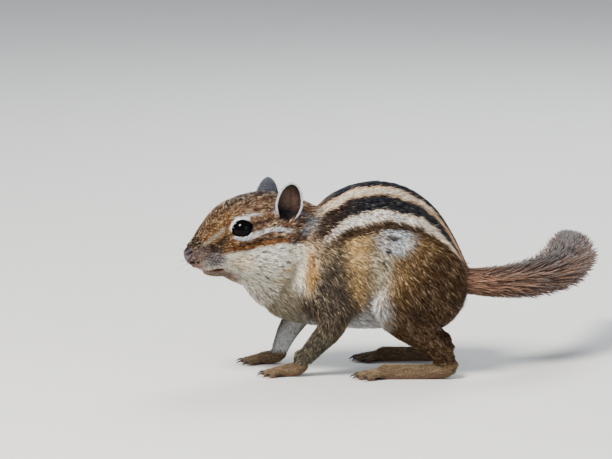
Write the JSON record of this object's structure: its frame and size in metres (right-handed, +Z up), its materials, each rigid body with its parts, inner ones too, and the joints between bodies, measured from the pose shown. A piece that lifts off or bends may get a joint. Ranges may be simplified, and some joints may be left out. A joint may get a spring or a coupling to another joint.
{
  "type": "chipmunk",
  "caption": "Still, life-size Siberian chipmunk standing on all four paws, back arched, head turned a little to its left, bushy tail curving away behind.",
  "frame": {"origin": "on the floor under the middle of the whole animal's bounding box", "axes": "the animal faces -X with its left side to -Y, and +Z is up"},
  "size_m": [0.1578, 0.1156, 0.0709],
  "materials": {
    "brown_coat": "short grizzled ochre-brown fur",
    "striped_coat": "short fur with dark and pale stripes along the back",
    "tail_hair": "long soft hair in overlapping locks",
    "ear_skin": "thin skin with very short fur",
    "paw_skin": "thin skin with very short fur",
    "nose_skin": "bare moist skin",
    "eye_gloss": "wet glossy black"
  },
  "bodies": {
    "root": {"head": "brown_coat", "neck": "brown_coat", "torso": "striped_coat", "foreleg_left": "brown_coat", "foreleg_right": "brown_coat", "hind_leg_left": "brown_coat", "hind_leg_right": "brown_coat", "forepaw_left": "paw_skin", "forepaw_right": "paw_skin", "hind_foot_left": "paw_skin", "hind_foot_right": "paw_skin", "ear_left": "ear_skin", "ear_right": "ear_skin", "nose": "nose_skin", "eye_left": "eye_gloss", "eye_right": "eye_gloss", "whiskers_left": "brown_coat", "whiskers_right": "brown_coat", "tail_base": "tail_hair", "tail_middle": "tail_hair", "tail_end": "tail_hair"}
  },
  "joints": []
}
